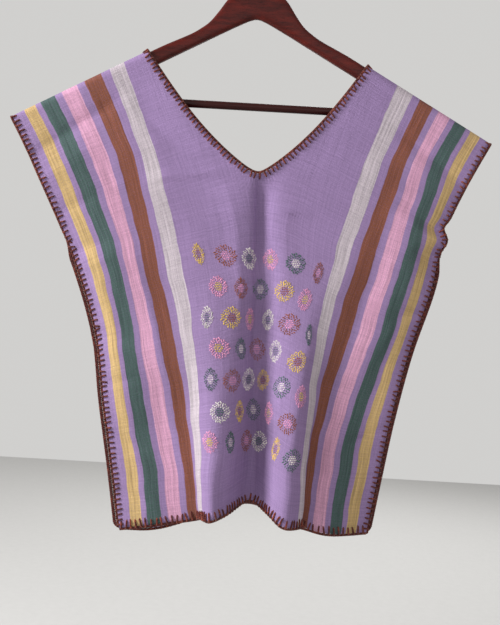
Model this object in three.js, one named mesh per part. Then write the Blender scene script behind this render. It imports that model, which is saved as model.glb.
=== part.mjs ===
// Woven blouse on a wooden hanger.
// One length of striped cloth is folded over the shoulders, cut to a V in front and behind, edged with
// crocheted cord and joined down the sides. Sizes are millimetres. +X is the viewer's right, the front
// faces -Y, +Z is up, and the origin is the inner top of the hook. A drop is a distance below the
// neck level, and a line is a warp thread's distance from the centre line of the flat cloth.

import * as THREE from 'three';

const { clamp, degToRad, lerp, smoothstep } = THREE.MathUtils;

const WALL = 2;
const GAP = 0.3;
const NECK_LEVEL = -170;
const CLOTH = { halfWidth: 234, neckHalf: 63 };

// The shoulder folds slope straight down, and cross the neck level at a distance from the middle
const SHOULDER = { slope: degToRad(28.9), level: 142.8 };
const NECK = { x: 11, drop: 135, bow: 12, round: 0.09 };
const UNDERARM = { left: 228, right: 221 };

// Half the distance from front to back, at the arms, at the loose tips, at the armhole where it is
// widest and where it closes, where the sides are joined, and over the chest; spread is how far in from
// the side edge the full depth is reached
const DEPTH = { arm: 9, tip: 4, armhole: 6.5, closing: 4.2, joined: 2.2, chest: 13, spread: 67 };

// How far above the underarm the armhole is widest and starts to close, and how far below the shoulder
// fold the cloth starts to leave the arms and has the chest's depth
const ARMHOLE = { widest: 75, closing: 16 };
const CHEST = { start: 25, full: 120 };

// One row for each warp line: its x on the shoulder fold, at six drops and at the hem. The three middle
// lines start at the neck's edge, so their first value only bends the curve across the lines.
const WARP = [
  { line: -234, fold: -289, x110: -264, x180: -236, x260: -198, x340: -171, x420: -158, x500: -143, hem: -131 },
  { line: -188, fold: -247, x110: -217, x180: -184, x260: -152, x340: -132, x420: -116, x500: -97, hem: -87 },
  { line: -133, fold: -195, x110: -154, x180: -130, x260: -108, x340: -85, x420: -65, x500: -49, hem: -40 },
  { line: -102, fold: -166, x110: -125, x180: -103, x260: -80, x340: -60, x420: -47, x500: -38, hem: -32 },
  { line: -63, fold: -131.5, x110: -84, x180: -58, x260: -36, x340: -28, x420: -21, x500: -20, hem: -19 },
  { line: -40, fold: -96, x110: -58, x180: -32, x260: -12, x340: -4, x420: -1, x500: -1, hem: -2 },
  { line: 0, fold: 3, x110: 10, x180: 15, x260: 22, x340: 22, x420: 23, x500: 23, hem: 23 },
  { line: 40, fold: 100, x110: 74, x180: 59, x260: 61, x340: 55, x420: 50, x500: 47, hem: 47 },
  { line: 63, fold: 138, x110: 105, x180: 86, x260: 81, x340: 76, x420: 69, x500: 64, hem: 62 },
  { line: 102, fold: 184, x110: 151, x180: 131, x260: 110, x340: 96, x420: 90, x500: 86, hem: 86 },
  { line: 133, fold: 210, x110: 181, x180: 160, x260: 139, x340: 119, x420: 101, x500: 92, hem: 90 },
  { line: 188, fold: 252, x110: 226, x180: 209, x260: 191, x340: 170, x420: 146, x500: 133, hem: 128 },
  { line: 234, fold: 289, x110: 267, x180: 243, x260: 229, x340: 206, x420: 189, x500: 176, hem: 167 },
];
const SECTION_DROPS = [110, 180, 260, 340, 420, 500];
const LOWEST = 600;

// A section counts for a warp line only this far below the line's top
const TOP_CLEARANCE = 20;

// Drop of the hem in front and behind, at the same warp lines
const HEM_DROPS = {
  front: [571, 562, 552, 548, 544, 538, 529, 537, 546, 551, 555, 561, 559],
  back: [571, 573, 567, 560, 552, 545, 541, 543, 548, 555, 559, 562, 559],
};

// One row for each fold: its warp line, the drop where it starts, its half width there and at the hem,
// how far it reaches along Y at the hem, and how quickly it gets there
const FRONT_FOLDS = [
  { line: -62, start: 190, topWidth: 46, hemWidth: 37, reach: -42, growth: 1.2 },
  { line: 66, start: 190, topWidth: 46, hemWidth: 37, reach: -42, growth: 1.2 },
  { line: 4, start: 128, topWidth: 9, hemWidth: 42, reach: 20, growth: 0.7 },
  { line: -170, start: 250, topWidth: 22, hemWidth: 20, reach: 4, growth: 1 },
  { line: 168, start: 330, topWidth: 22, hemWidth: 20, reach: -5, growth: 1 },
];
const BACK_FOLDS = [
  { line: 6, start: 150, topWidth: 20, hemWidth: 50, reach: 36, growth: 1 },
  { line: -118, start: 220, topWidth: 34, hemWidth: 40, reach: 20, growth: 1 },
  { line: 132, start: 240, topWidth: 34, hemWidth: 38, reach: 17, growth: 1 },
];

// How evenly the back's warp lines are spread between the side edges, from the drop where that starts
const BACK_SPREAD = { evenness: 0.85, start: 140, full: 300 };

// A bump and a dent of the right side edge, fading inwards
const BUMPS = [
  { side: 1, drop: 203, reach: 5, length: 9 },
  { side: 1, drop: 186, reach: -4, length: 8 },
];
const BUMP_WIDTH = 26;

// The crocheted cord, and the half widths of the bands that join the sides; fullness squares a section
const EDGING = { radius: 1.6, sides: 8, clear: 0.65, turn: 2, bandLeft: 4, bandRight: 3, bandThickness: 3.3 };
const FULLNESS = { cord: 1, band: 0.6 };

// The hanger's arms lie a seat below the shoulder folds. Heights are above the neck level, the yoke's
// points lie on its upper edge, and the arch is the rounded corner under the middle.
const HANGER = {
  thickness: 12, round: 5.5, seat: 2, end: 228, endRound: 6.4, depth: 17,
  crown: { half: 11, height: 98, shoulder: 18, drop: 7 },
  yoke: [
    { x: 36, height: 76 },
    { x: 47, height: 60 },
    { x: 57, height: 47 },
    { x: 68, height: 38 },
    { x: 79, height: 31 },
  ],
  straight: [112, 150],
  curvePoints: 22,
  arch: { half: 14, rise: 0.75 },
  bar: { height: -53, radius: 4.8, sides: 16 },
};
const HOOK = { wire: 1.9, inner: 20, tipAngle: 205, neckAngle: -55, bendSteps: 13, lead: 14 };

const cloth = new THREE.MeshStandardMaterial({ color: 0x9679b0, roughness: 0.9, metalness: 0 });
const yarn = new THREE.MeshStandardMaterial({ color: 0x5c1a14, roughness: 0.95, metalness: 0 });
const wood = new THREE.MeshStandardMaterial({ color: 0x4b160f, roughness: 0.35, metalness: 0 });
const steel = new THREE.MeshStandardMaterial({ color: 0xc8c8c8, roughness: 0.25, metalness: 1 });

// Value at q of a smooth curve through the points (xs, ys), with xs rising
function smooth(xs, ys, q) {
  const last = xs.length - 1;
  let k = 0;
  while (k < last - 1 && q > xs[k + 1]) k += 1;
  const slope = i => {
    const before = Math.max(i - 1, 0);
    const after = Math.min(i + 1, last);
    return (ys[after] - ys[before]) / (xs[after] - xs[before]);
  };
  const span = xs[k + 1] - xs[k];
  const u = clamp((q - xs[k]) / span, 0, 1);
  const rise = u * u * (3 - 2 * u);
  const lead = u * (1 - u) * (1 - u) * span;
  const trail = u * u * (1 - u) * span;
  return lerp(ys[k], ys[k + 1], rise) + lead * slope(k) - trail * slope(k + 1);
}

const LINES = WARP.map(row => row.line);
const overLines = (name, line) => smooth(LINES, WARP.map(row => row[name]), line);
const hemDrop = (side, line) => smooth(LINES, side < 0 ? HEM_DROPS.front : HEM_DROPS.back, line);
const foldDrop = x => (Math.abs(x) - SHOULDER.level) * Math.tan(SHOULDER.slope);

// Top of a warp line: on the shoulder fold, or on the neck's cut edge
function topOf(line) {
  const across = Math.abs(line);
  if (across >= CLOTH.neckHalf) {
    const x = overLines('fold', line);
    return { x, drop: foldDrop(x) };
  }
  const t = across / CLOTH.neckHalf;
  const neckX = overLines('fold', Math.sign(line) * CLOTH.neckHalf);
  const rounded = (Math.hypot(t, NECK.round) - NECK.round) / (Math.hypot(1, NECK.round) - NECK.round);
  const drop = lerp(NECK.drop, foldDrop(neckX), rounded) + NECK.bow * Math.sin(Math.PI * rounded);
  return { x: lerp(NECK.x, neckX, t), drop };
}

// Where a warp line of the front lies across at a drop, between its top and its hem
function lineX(line, drop, hem) {
  const top = topOf(line);
  const drops = SECTION_DROPS.filter(section => section > top.drop + TOP_CLEARANCE);
  const xs = [top.x, ...drops.map(section => overLines(`x${section}`, line)), overLines('hem', line)];
  return smooth([top.drop, ...drops, hem], xs, drop);
}

function bumpAt(line, drop) {
  const inward = (CLOTH.halfWidth - Math.abs(line)) / BUMP_WIDTH;
  return BUMPS.filter(bump => bump.side === Math.sign(line)).reduce((sum, bump) => {
    const along = (drop - bump.drop) / bump.length;
    return sum + bump.side * bump.reach * Math.exp(-along * along - inward * inward);
  }, 0);
}

function foldAt(folds, line, drop, hem) {
  return folds.reduce((sum, fold) => {
    const t = clamp((drop - fold.start) / (hem - fold.start), 0, 1);
    const away = (line - fold.line) / lerp(fold.topWidth, fold.hemWidth, t);
    return sum + fold.reach * Math.pow(t, fold.growth) * Math.exp(-away * away);
  }, 0);
}

// Half the distance between front and back, from the side edge inwards
function halfDepth(line, drop, belowFold) {
  const underarm = line < 0 ? UNDERARM.left : UNDERARM.right;
  const tip = topOf(CLOTH.halfWidth).drop;
  const edgeDrops = [tip, underarm - ARMHOLE.widest, underarm - ARMHOLE.closing, underarm, LOWEST];
  const edgeDepths = [DEPTH.tip, DEPTH.armhole, DEPTH.closing, DEPTH.joined, DEPTH.joined];
  const edge = smooth(edgeDrops, edgeDepths, drop);
  const inner = lerp(DEPTH.arm, DEPTH.chest, smoothstep(belowFold, CHEST.start, CHEST.full));
  const inward = clamp((CLOTH.halfWidth - Math.abs(line)) / DEPTH.spread, 0, 1);
  return lerp(edge, inner, Math.sin(inward * Math.PI / 2));
}

// A point of the cloth's middle surface; side is -1 in front and 1 behind
function clothPoint(side, line, drop) {
  const top = topOf(line);
  const hem = hemDrop(side, line);
  const own = lineX(line, drop, hem);
  const across = (line + CLOTH.halfWidth) / (2 * CLOTH.halfWidth);
  const even = lerp(lineX(-CLOTH.halfWidth, drop, hem), lineX(CLOTH.halfWidth, drop, hem), across);
  const share = BACK_SPREAD.evenness * smoothstep(drop, BACK_SPREAD.start, BACK_SPREAD.full);
  const x = lerp(own, even, side < 0 ? 0 : share) + bumpAt(line, drop);
  const belowFold = Math.max(0, drop - foldDrop(x)) * Math.cos(SHOULDER.slope);
  const depth = halfDepth(line, drop, belowFold);
  const radius = halfDepth(line, top.drop, 0);
  const turn = 1 - Math.min(belowFold / radius, 1);
  const onFold = Math.abs(line) >= CLOTH.neckHalf && drop <= top.drop;
  const wrapped = onFold ? 0 : depth * Math.sqrt(Math.max(0, 1 - turn * turn));
  const fold = foldAt(side < 0 ? FRONT_FOLDS : BACK_FOLDS, line, drop, hem);
  return new THREE.Vector3(x, side * (wrapped + GAP / 2) + fold, NECK_LEVEL - drop);
}

// Warp lines of the grid: closer together near the neck point and at the bottom of the V
const NECK_LINES = [0, 0.1, 0.24, 0.42, 0.62, 0.8, 0.92, 0.965, 0.985, 0.995, 1].map(t => t * CLOTH.neckHalf);
const OUTER_COUNT = 12;
const outerLine = k => lerp(CLOTH.neckHalf, CLOTH.halfWidth, k / OUTER_COUNT);
const HALF_LINES = [...NECK_LINES, ...Array.from({ length: OUTER_COUNT }, (_, k) => outerLine(k + 1))];
const GRID_LINES = [...HALF_LINES.slice(1).reverse().map(line => -line), ...HALF_LINES];
const WRAP_ANGLES = [0, 22.5, 45, 67.5, 90].map(degToRad);
const HANG_ROWS = 24;

function dropsOf(side, line) {
  const top = topOf(line).drop;
  const hem = hemDrop(side, line);
  const wrap = WRAP_ANGLES.map(angle => top + DEPTH.arm * Math.cos(SHOULDER.slope) * (1 - Math.cos(angle)));
  const hang = Array.from({ length: HANG_ROWS }, (_, k) => lerp(wrap.at(-1), hem, (k + 1) / HANG_ROWS));
  return [...wrap, ...hang];
}

// Rows run down the cloth and columns run from left to right
function panelGrid(side) {
  const columns = GRID_LINES.map(line => dropsOf(side, line).map(drop => clothPoint(side, line, drop)));
  return columns[0].map((_, row) => columns.map(column => column[row]));
}

function gridNormal(grid, row, column) {
  const lastRow = grid.length - 1;
  const lastColumn = grid[0].length - 1;
  const right = grid[row][Math.min(column + 1, lastColumn)];
  const left = grid[row][Math.max(column - 1, 0)];
  const lower = grid[Math.min(row + 1, lastRow)][column];
  const onFold = row === 0 && Math.abs(GRID_LINES[column]) >= CLOTH.neckHalf - 1e-6;
  const above = grid[Math.max(row - 1, 0)][column];
  const upper = onFold ? lower.clone().multiply(new THREE.Vector3(1, -1, 1)) : above;
  const across = right.clone().sub(left);
  if (onFold) across.y = 0;
  return across.cross(lower.clone().sub(upper)).normalize();
}

function indexedGeometry(points, indices) {
  const geometry = new THREE.BufferGeometry();
  geometry.setAttribute('position', new THREE.Float32BufferAttribute(points.flatMap(p => p.toArray()), 3));
  geometry.setIndex(indices);
  geometry.computeVertexNormals();
  return geometry;
}

// Closed wall of even thickness on both sides of a grid of points
function wallGeometry(grid) {
  const rows = grid.length;
  const columns = grid[0].length;
  const offset = (sign, row, column) => {
    const step = gridNormal(grid, row, column).multiplyScalar(sign * WALL / 2);
    return grid[row][column].clone().add(step);
  };
  const layer = sign => grid.flatMap((points, row) => points.map((_, column) => offset(sign, row, column)));
  const count = rows * columns;
  const at = (row, column) => row * columns + column;
  const indices = [];
  for (let row = 0; row < rows - 1; row += 1) {
    for (let column = 0; column < columns - 1; column += 1) {
      const [a, b] = [at(row, column), at(row, column + 1)];
      const [c, d] = [at(row + 1, column + 1), at(row + 1, column)];
      indices.push(a, b, c, a, c, d);
      indices.push(count + a, count + c, count + b, count + a, count + d, count + c);
    }
  }
  const rim = [];
  for (let column = 0; column < columns - 1; column += 1) rim.push(at(0, column));
  for (let row = 0; row < rows - 1; row += 1) rim.push(at(row, columns - 1));
  for (let column = columns - 1; column > 0; column -= 1) rim.push(at(rows - 1, column));
  for (let row = rows - 1; row > 0; row -= 1) rim.push(at(row, 0));
  rim.forEach((a, k) => {
    const b = rim[(k + 1) % rim.length];
    indices.push(b, a, count + a, b, count + a, count + b);
  });
  return indexedGeometry([...layer(1), ...layer(-1)], indices);
}

// Cord or band along a cloth edge. Each station has a point of the edge and the direction out of the
// cloth; size holds the section's half width outwards and half thickness.
function edgingGeometry(stations, size, closed) {
  const count = stations.length;
  const neighbour = k => stations[closed ? (k + count) % count : clamp(k, 0, count - 1)].point;
  const rings = stations.map((edge, k) => {
    const along = neighbour(k + 1).clone().sub(neighbour(k - 1)).normalize();
    const out = edge.out.clone().addScaledVector(along, -along.dot(edge.out)).normalize();
    const through = along.clone().cross(out);
    const centre = edge.point.clone().addScaledVector(out, size.width + EDGING.clear);
    const full = value => Math.sign(value) * Math.pow(Math.abs(value), size.fullness);
    return Array.from({ length: EDGING.sides }, (_, s) => {
      const angle = 2 * Math.PI * (s + 0.5) / EDGING.sides;
      const point = centre.clone().addScaledVector(out, size.width * full(Math.cos(angle)));
      return point.addScaledVector(through, size.thickness * full(Math.sin(angle)));
    });
  });
  const indices = [];
  const at = (ring, s) => (ring % count) * EDGING.sides + s % EDGING.sides;
  for (let ring = 0; ring < (closed ? count : count - 1); ring += 1) {
    for (let s = 0; s < EDGING.sides; s += 1) {
      const [a, b] = [at(ring, s), at(ring, s + 1)];
      const [c, d] = [at(ring + 1, s + 1), at(ring + 1, s)];
      indices.push(a, b, c, a, c, d);
    }
  }
  for (let s = 1; !closed && s < EDGING.sides - 1; s += 1) {
    indices.push(at(0, 0), at(0, s + 1), at(0, s));
    indices.push(at(count - 1, 0), at(count - 1, s), at(count - 1, s + 1));
  }
  return indexedGeometry(rings.flat(), indices);
}

const frontGrid = panelGrid(-1);
const backGrid = panelGrid(1);
const LAST_ROW = frontGrid.length - 1;
const LAST_COLUMN = GRID_LINES.length - 1;
const cordSize = { width: EDGING.radius, thickness: EDGING.radius, fullness: FULLNESS.cord };
const middle = (a, b) => a.clone().add(b).multiplyScalar(0.5);

// Edge station of a grid point, pointing away from the next point into the cloth
const station = (edge, inside) => ({ point: edge.clone(), out: edge.clone().sub(inside).normalize() });
const shared = (first, second, sink = 0) => ({
  point: middle(first.point, second.point).add(new THREE.Vector3(0, 0, -sink)),
  out: middle(first.out, second.out).normalize(),
});

function neckStations() {
  const first = GRID_LINES.findIndex(line => line >= -CLOTH.neckHalf - 1e-6);
  const last = LAST_COLUMN - first;
  const onFold = (column, inward) => ({
    point: middle(frontGrid[0][column], backGrid[0][column]),
    out: frontGrid[0][column].clone().sub(frontGrid[0][column + inward]).setY(0).normalize(),
  });
  const edge = (grid, column) => station(grid[0][column], grid[1][column]);
  const inner = Array.from({ length: last - first - 1 }, (_, k) => first + 1 + k);
  return [
    onFold(first, -1),
    ...inner.map(column => edge(frontGrid, column)),
    onFold(last, 1),
    ...inner.reverse().map(column => edge(backGrid, column)),
  ];
}

const sideStation = (grid, row, column) => station(grid[row][column], grid[row][column === 0 ? 1 : column - 1]);

// The lowest row of an armhole: the one nearest to where the side join starts
function underarmRow(column) {
  const target = NECK_LEVEL - UNDERARM[column === 0 ? 'left' : 'right'];
  const misses = frontGrid.map(points => Math.abs(points[column].z - target));
  return misses.indexOf(Math.min(...misses));
}

function armholeStations(column) {
  const end = underarmRow(column);
  const rows = Array.from({ length: end }, (_, k) => k + 1);
  const front = rows.map(row => sideStation(frontGrid, row, column));
  const back = rows.map(row => sideStation(backGrid, row, column));
  const tip = shared(sideStation(frontGrid, 0, column), sideStation(backGrid, 0, column));
  tip.out.setY(0).normalize();
  return [tip, ...front, shared(front.at(-1), back.at(-1), EDGING.turn), ...back.reverse()];
}

function joinStations(column) {
  const start = underarmRow(column);
  const rows = Array.from({ length: LAST_ROW - start + 1 }, (_, k) => start + k);
  const pairs = rows.map(row => shared(sideStation(frontGrid, row, column), sideStation(backGrid, row, column)));
  const step = pairs[1].point.clone().sub(pairs[0].point);
  pairs[0].point.addScaledVector(step, (EDGING.turn + EDGING.radius + 3 * GAP) / step.length());
  const lift = pairs.at(-2).point.clone().sub(pairs.at(-1).point).normalize();
  pairs.at(-1).point.addScaledVector(lift, GAP);
  return pairs;
}

function hemStations() {
  const columns = Array.from({ length: LAST_COLUMN + 1 }, (_, k) => k);
  const edge = (grid, column) => station(grid[LAST_ROW][column], grid[LAST_ROW - 1][column]);
  const front = columns.map(column => edge(frontGrid, column));
  const back = columns.map(column => edge(backGrid, column));
  const [leftTurn, rightTurn] = [0, LAST_COLUMN].map(column => {
    const turn = shared(front[column], back[column]);
    turn.point.x += EDGING.turn * Math.sign(GRID_LINES[column]);
    return turn;
  });
  return [...front, rightTurn, ...back.reverse(), leftTurn];
}

// Outline of the hanger seen from the front, from the crown down one arm and back up the other
function hangerOutline() {
  const cos = Math.cos(SHOULDER.slope);
  const armTop = x => -foldDrop(x) - HANGER.seat / cos;
  const armUnder = x => armTop(x) - HANGER.depth / cos;
  const { crown, yoke, straight, end, endRound, arch } = HANGER;
  const shoulder = new THREE.SplineCurve([
    new THREE.Vector2(crown.shoulder, crown.height - crown.drop),
    ...yoke.map(({ x, height }) => new THREE.Vector2(x, height)),
    ...straight.map(x => new THREE.Vector2(x, armTop(x))),
  ]);
  const half = [
    new THREE.Vector2(crown.half, crown.height),
    ...shoulder.getPoints(HANGER.curvePoints),
    new THREE.Vector2(end - endRound, armTop(end - endRound)),
    new THREE.Vector2(end, armTop(end) - endRound),
    new THREE.Vector2(end, armUnder(end) + endRound),
    new THREE.Vector2(end - endRound, armUnder(end - endRound)),
    new THREE.Vector2(arch.half, armUnder(arch.half)),
  ];
  const peak = armUnder(arch.half) + arch.half * Math.tan(SHOULDER.slope) * arch.rise;
  const mirrored = half.map(p => new THREE.Vector2(-p.x, p.y)).reverse();
  return new THREE.Shape([...half, new THREE.Vector2(0, peak), ...mirrored]);
}

function hangerGeometry() {
  const { thickness, round } = HANGER;
  const geometry = new THREE.ExtrudeGeometry(hangerOutline(), {
    depth: thickness - 2 * round, bevelThickness: round, bevelSize: round, bevelOffset: -round, bevelSegments: 3,
  });
  return geometry.translate(0, 0, round - thickness / 2).rotateX(Math.PI / 2).translate(0, 0, NECK_LEVEL);
}

// Round bar between the arms, its ends cut on the slope of the arms
function barGeometry() {
  const { height, radius, sides } = HANGER.bar;
  const { slope, level } = SHOULDER;
  const under = (HANGER.seat + HANGER.depth + GAP) / Math.cos(slope);
  const geometry = new THREE.CylinderGeometry(radius, radius, 2, sides).rotateZ(Math.PI / 2);
  const position = geometry.getAttribute('position');
  for (let k = 0; k < position.count; k += 1) {
    const reach = level - (height + position.getY(k) + under) / Math.tan(slope);
    position.setX(k, Math.sign(position.getX(k)) * reach);
  }
  return geometry.rotateX(Math.PI / 2).translate(0, 0, NECK_LEVEL + height);
}

// Wire hook: a round bend over the origin that leads back to the middle and down into the crown
function hookGeometry() {
  const middleRadius = HOOK.inner + HOOK.wire;
  const crownTop = NECK_LEVEL + HANGER.crown.height + GAP;
  const bend = Array.from({ length: HOOK.bendSteps + 1 }, (_, k) => {
    const angle = degToRad(lerp(HOOK.tipAngle, HOOK.neckAngle, k / HOOK.bendSteps));
    return new THREE.Vector3(middleRadius * Math.cos(angle), 0, middleRadius * Math.sin(angle) - HOOK.inner);
  });
  const lead = [crownTop + HOOK.lead, crownTop + HOOK.lead / 2, crownTop].map(z => new THREE.Vector3(0, 0, z));
  const section = new THREE.Shape().absarc(0, 0, HOOK.wire, 0, 2 * Math.PI);
  const path = new THREE.CatmullRomCurve3([...bend, ...lead]);
  return new THREE.ExtrudeGeometry(section, { curveSegments: 4, steps: 40, extrudePath: path });
}

function named(name, geometry, material) {
  const mesh = new THREE.Mesh(geometry, material);
  mesh.name = name;
  return mesh;
}

const blouse = new THREE.Group();
blouse.add(named('front_cloth', wallGeometry(frontGrid), cloth));
blouse.add(named('back_cloth', wallGeometry(backGrid), cloth));
blouse.add(named('neck_edging', edgingGeometry(neckStations(), cordSize, true), yarn));
blouse.add(named('hem_edging', edgingGeometry(hemStations(), cordSize, true), yarn));
for (const [side, column, width] of [['left', 0, EDGING.bandLeft], ['right', LAST_COLUMN, EDGING.bandRight]]) {
  const band = { width, thickness: EDGING.bandThickness, fullness: FULLNESS.band };
  blouse.add(named(`armhole_edging_${side}`, edgingGeometry(armholeStations(column), cordSize, true), yarn));
  blouse.add(named(`side_join_${side}`, edgingGeometry(joinStations(column), band, false), yarn));
}

const hanger = new THREE.Group();
hanger.add(named('hanger_body', hangerGeometry(), wood));
hanger.add(named('trouser_bar', barGeometry(), wood));
hanger.add(named('hook', hookGeometry(), steel));

const group = new THREE.Group();
group.add(blouse, hanger);
export default group;
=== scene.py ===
"""A woven blouse on a wooden hanger: striped cloth, brocaded flowers, braided edging and blanket stitches."""

import math

import bpy
import numpy as np
from bpy.props import FloatProperty, FloatVectorProperty, PointerProperty
from mathutils import Matrix, Vector


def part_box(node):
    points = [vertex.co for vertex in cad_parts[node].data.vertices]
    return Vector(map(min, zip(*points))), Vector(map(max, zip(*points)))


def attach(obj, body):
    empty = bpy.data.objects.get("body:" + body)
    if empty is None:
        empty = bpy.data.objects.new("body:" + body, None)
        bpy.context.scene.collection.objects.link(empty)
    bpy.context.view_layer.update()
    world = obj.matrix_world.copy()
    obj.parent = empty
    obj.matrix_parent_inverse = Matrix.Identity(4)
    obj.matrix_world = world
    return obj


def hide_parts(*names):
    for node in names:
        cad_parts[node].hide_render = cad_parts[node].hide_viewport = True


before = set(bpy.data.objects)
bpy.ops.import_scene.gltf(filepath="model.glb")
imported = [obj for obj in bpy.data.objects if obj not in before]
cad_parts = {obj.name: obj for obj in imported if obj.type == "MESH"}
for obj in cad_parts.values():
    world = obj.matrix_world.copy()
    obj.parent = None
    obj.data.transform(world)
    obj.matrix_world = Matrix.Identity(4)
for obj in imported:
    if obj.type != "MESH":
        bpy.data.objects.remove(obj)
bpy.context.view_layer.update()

bl_info = {
    "name": "Woven blouse",
    "version": (1, 0, 0),
    "blender": (4, 5, 0),
    "location": "View3D > Sidebar > Blouse",
    "description": "Builds a handwoven blouse on its hanger",
    "category": "Add Mesh",
}

MM = 0.001
NECK_LEVEL = -170.0
HALF_WIDTH = 234.0
NECK_HALF = 63.0
LENGTH = 564.0

# Sizes of the hanging cloth, in millimetres. A drop is a distance below the neck level, and a line is a
# warp thread's distance from the centre line of the flat cloth.
SLOPE = math.radians(28.9)
FOLD_LEVEL = 142.8
NECK = {"x": 11, "drop": 135, "bow": 12, "round": 0.09}
UNDERARM = {"left": 228, "right": 221}
DEPTH = {"arm": 9, "tip": 4, "armhole": 6.5, "closing": 4.2, "joined": 2.2, "chest": 13, "spread": 67}
ARMHOLE = {"widest": 75, "closing": 16}
CHEST = {"start": 25, "full": 120}
LOWEST = 600
TOP_BLEND = {"start": 45, "end": 90}

# One column of each list is a warp line: its x on the shoulder fold, at six drops and at the hem
WARP = {
    "line": [-234, -188, -133, -102, -63, -40, 0, 40, 63, 102, 133, 188, 234],
    "fold": [-289, -247, -195, -166, -131.5, -96, 3, 100, 138, 184, 210, 252, 289],
    "x110": [-264, -217, -154, -125, -84, -58, 10, 74, 105, 151, 181, 226, 267],
    "x180": [-236, -184, -130, -103, -58, -32, 15, 59, 86, 131, 160, 209, 243],
    "x260": [-198, -152, -108, -80, -36, -12, 22, 61, 81, 110, 139, 191, 229],
    "x340": [-171, -132, -85, -60, -28, -4, 22, 55, 76, 96, 119, 170, 206],
    "x420": [-158, -116, -65, -47, -21, -1, 23, 50, 69, 90, 101, 146, 189],
    "x500": [-143, -97, -49, -38, -20, -1, 23, 47, 64, 86, 92, 133, 176],
    "hem": [-131, -87, -40, -32, -19, -2, 23, 47, 62, 86, 90, 128, 167],
}
SECTION_NAMES = ["x110", "x180", "x260", "x340", "x420", "x500"]
SECTION_DROPS = [110, 180, 260, 340, 420, 500]
HEM_DROPS = {
    -1: [571, 562, 552, 548, 544, 538, 529, 537, 546, 551, 555, 561, 559],
    1: [571, 573, 567, 560, 552, 545, 541, 543, 548, 555, 559, 562, 559],
}

# The large folds: warp line, drop where each starts, half width there and at the hem, reach along Y
FOLDS = {
    -1: [
        {"line": -62, "start": 190, "top": 46, "hem": 37, "reach": -42, "growth": 1.2},
        {"line": 66, "start": 190, "top": 46, "hem": 37, "reach": -42, "growth": 1.2},
        {"line": 4, "start": 128, "top": 9, "hem": 42, "reach": 20, "growth": 0.7},
        {"line": -170, "start": 250, "top": 22, "hem": 20, "reach": 4, "growth": 1},
        {"line": 168, "start": 330, "top": 22, "hem": 20, "reach": -5, "growth": 1},
    ],
    1: [
        {"line": 6, "start": 150, "top": 20, "hem": 50, "reach": 36, "growth": 1},
        {"line": -118, "start": 220, "top": 34, "hem": 40, "reach": 20, "growth": 1},
        {"line": 132, "start": 240, "top": 34, "hem": 38, "reach": 17, "growth": 1},
    ],
}
BACK_SPREAD = {"evenness": 0.85, "start": 140, "full": 300}
BUMPS = [{"drop": 203, "reach": 5, "length": 9}, {"drop": 186, "reach": -4, "length": 8}]
BUMP_WIDTH = 26
RIPPLE_HEIGHT = 0.5
RIPPLES = [(0.031, 0.013, 0.4), (-0.017, 0.024, 2.1), (0.058, -0.008, 4.4), (0.022, 0.047, 1.3),
           (-0.071, 0.019, 5.0)]
SWAYS = [(0.071, 0.017, 0.9, 0.6), (0.113, -0.031, 2.7, 0.35), (0.187, 0.043, 4.0, 0.2)]
CREASE_FADE = (-0.12, 0.25)

# Soft creases: from a warp line and drop to another, the half widths on the right and on the left hand
# of someone who walks along it, and its height out of the cloth
# Columns: from, to, right, left, height
CREASES = {
    -1: [
        ((1, 138), (-8, 250), 2.0, 14, -8.5),
        ((-8, 240), (-9, 350), 2.6, 16, -6.4),
        ((-8, 345), (8, 470), 9, 13, -3.4),
        ((4, 430), (14, 528), 3.5, 4, -2.1),
        ((-26, 150), (-34, 340), 9, 9, 2.1),
        ((30, 160), (28, 300), 14, 12, 1.8),
        ((-240, 132), (-112, 52), 9, 7, -3.6),
        ((-236, 158), (-150, 106), 14, 14, 2.4),
        ((-238, 198), (-178, 172), 7, 7, -2.2),
        ((-236, 242), (-186, 226), 6, 8, -2.5),
        ((-236, 256), (-180, 244), 8, 8, 1.7),
        ((-238, 331), (-190, 349), 6, 6, -2.7),
        ((-236, 350), (-196, 368), 7, 7, 1.5),
        ((-234, 398), (-184, 387), 7, 6, -2.2),
        ((-238, 452), (-188, 476), 7, 6, -3.0),
        ((-236, 520), (-196, 538), 8, 7, -2.1),
        ((-112, 150), (-16, 136), 3, 6, 1.7),
        ((-60, 186), (-14, 183), 3, 3, 0.9),
        ((8, 181), (56, 182), 3, 3, 0.9),
        ((-100, 60), (-62, 112), 9, 9, -1.5),
        ((106, 70), (238, 134), 9, 7, -3.3),
        ((126, 100), (236, 152), 13, 13, 2.1),
        ((146, 160), (230, 194), 7, 7, -2.7),
        ((156, 178), (238, 208), 8, 7, 2.7),
        ((190, 216), (238, 236), 6, 6, -2.4),
        ((186, 300), (238, 288), 7, 7, -1.5),
        ((180, 452), (238, 430), 7, 7, -2.2),
        ((-152, 240), (-140, 540), 14, 11, 2.2),
        ((148, 190), (144, 520), 22, 16, -3.4),
        ((200, 280), (204, 520), 20, 14, -2.8),
        ((-212, 200), (-206, 430), 16, 96, 8.0),
        ((-206, 400), (-196, 566), 9, 9, 2.0),
    ],
    1: [
        ((2, 140), (8, 330), 9, 3, -5.4),
        ((-22, 150), (-26, 320), 10, 10, 2.2),
        ((-238, 140), (-128, 66), 8, 8, -3.0),
        ((-236, 162), (-160, 112), 12, 12, 2.2),
        ((118, 72), (238, 138), 8, 8, -3.2),
        ((140, 108), (236, 162), 12, 12, 2.1),
        ((-236, 246), (-182, 230), 7, 7, -2.4),
        ((-236, 352), (-188, 362), 7, 7, -2.1),
        ((188, 248), (236, 262), 7, 7, -2.2),
        ((184, 354), (236, 344), 7, 7, -2.0),
        ((-188, 400), (-182, 560), 10, 10, 1.8),
        ((182, 380), (190, 540), 10, 10, -1.8),
    ],
}

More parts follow.
